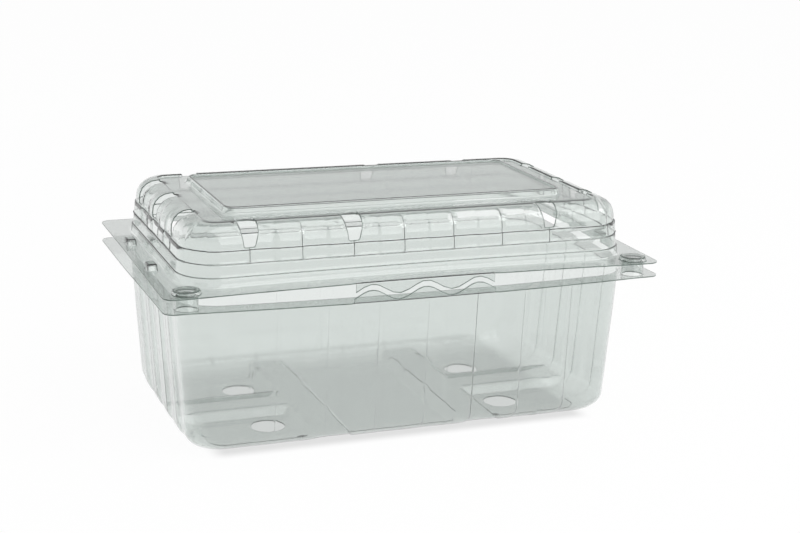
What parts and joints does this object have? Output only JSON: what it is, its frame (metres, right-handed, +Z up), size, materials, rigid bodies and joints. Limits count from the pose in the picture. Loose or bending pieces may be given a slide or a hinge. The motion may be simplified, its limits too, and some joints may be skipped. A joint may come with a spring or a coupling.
{
  "type": "hinged produce clamshell",
  "caption": "Clear hinged produce clamshell: fluted rectangular tray and domed vented lid joined by a back hinge, with flat flanges, corner studs and a wavy front closure.",
  "frame": {"origin": "on the supporting surface under the middle of the tray", "axes": "+X along the long side, +Y towards the hinge at the back, +Z up through the lid"},
  "size_m": [0.19, 0.1216, 0.0881],
  "materials": {
    "tray": "clear gloss sheet",
    "lid": "clear gloss sheet"
  },
  "bodies": {
    "tray": {"tray": "tray"},
    "lid": {"lid": "lid"}
  },
  "joints": [
    {"name": "lid_hinge", "type": "hinge", "parent": "tray", "child": "lid", "pos_m": [0, 0.06285, 0.0608], "axis": [-1, 0, 0], "range_deg": [0, 180]}
  ]
}
